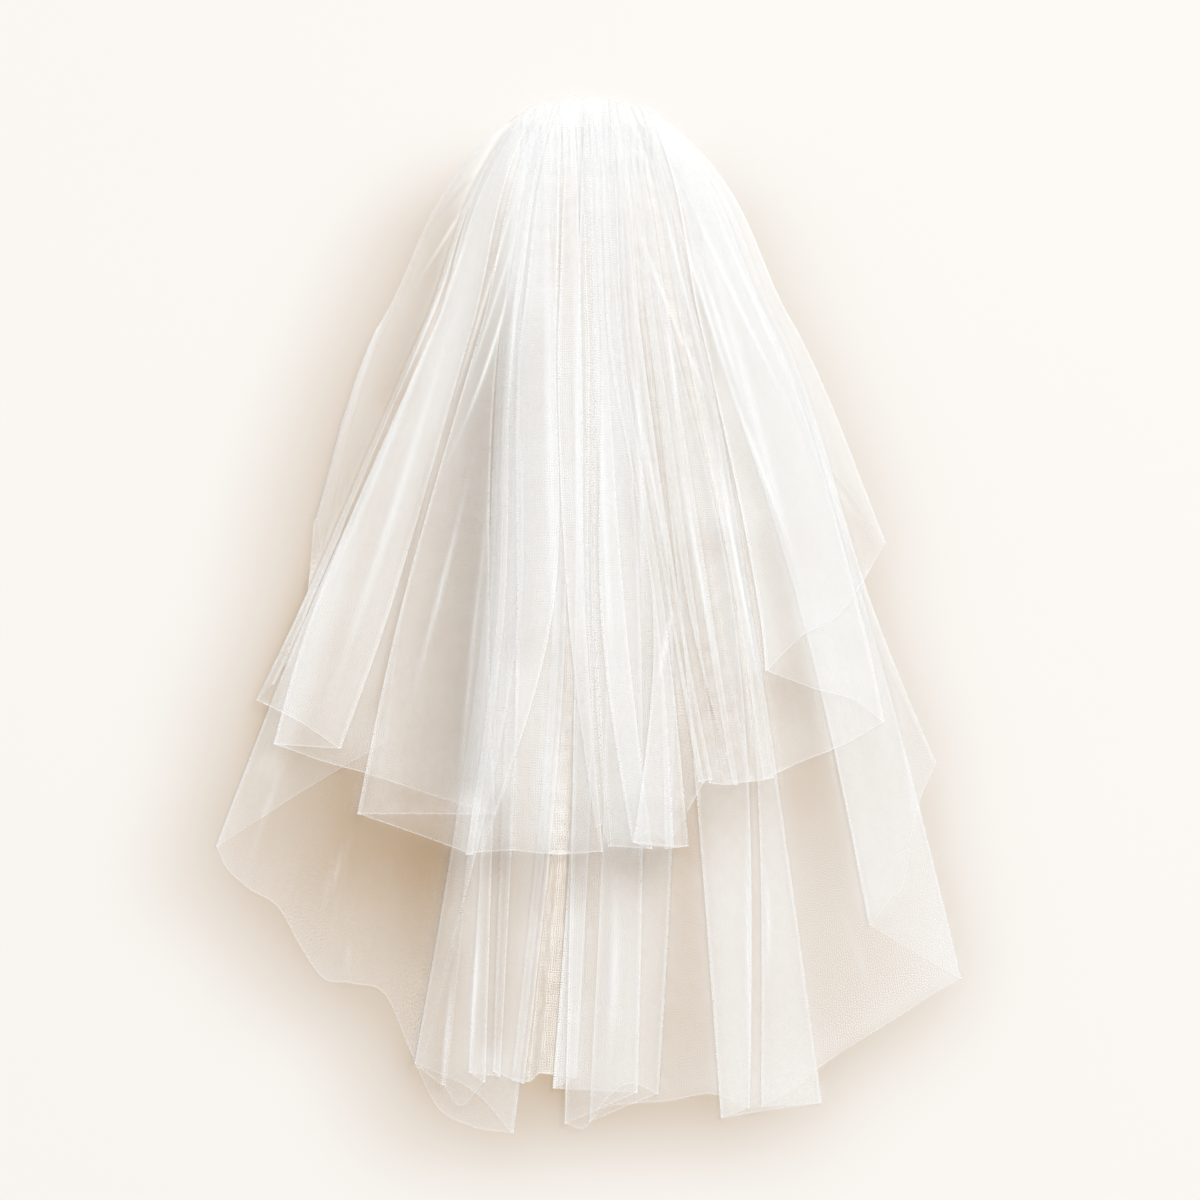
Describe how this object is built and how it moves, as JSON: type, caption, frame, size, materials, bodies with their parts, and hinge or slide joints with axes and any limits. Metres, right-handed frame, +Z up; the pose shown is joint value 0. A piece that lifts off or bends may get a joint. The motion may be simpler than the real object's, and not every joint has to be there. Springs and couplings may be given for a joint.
{
  "type": "bridal veil",
  "caption": "Tiered tulle bridal veil laid flat, gathered onto a hair comb at the top, its pleats fanning out to waterfall hems.",
  "frame": {"origin": "middle of the footprint's bounding box, on the surface the veil lies on", "axes": "+Y towards the gathered head, +X to the right seen from above with the head away from the viewer, +Z up out of the surface"},
  "size_m": [0.5579, 0.7742, 0.0307],
  "materials": {
    "comb_plastic": "smooth clear to milky plastic",
    "lower_tulle": "soft ivory tulle, translucent in a single layer",
    "upper_tulle": "soft ivory tulle, translucent in a single layer"
  },
  "bodies": {
    "root": {"comb": "comb_plastic", "lower_tier": "lower_tulle", "upper_tier": "upper_tulle"}
  },
  "joints": []
}
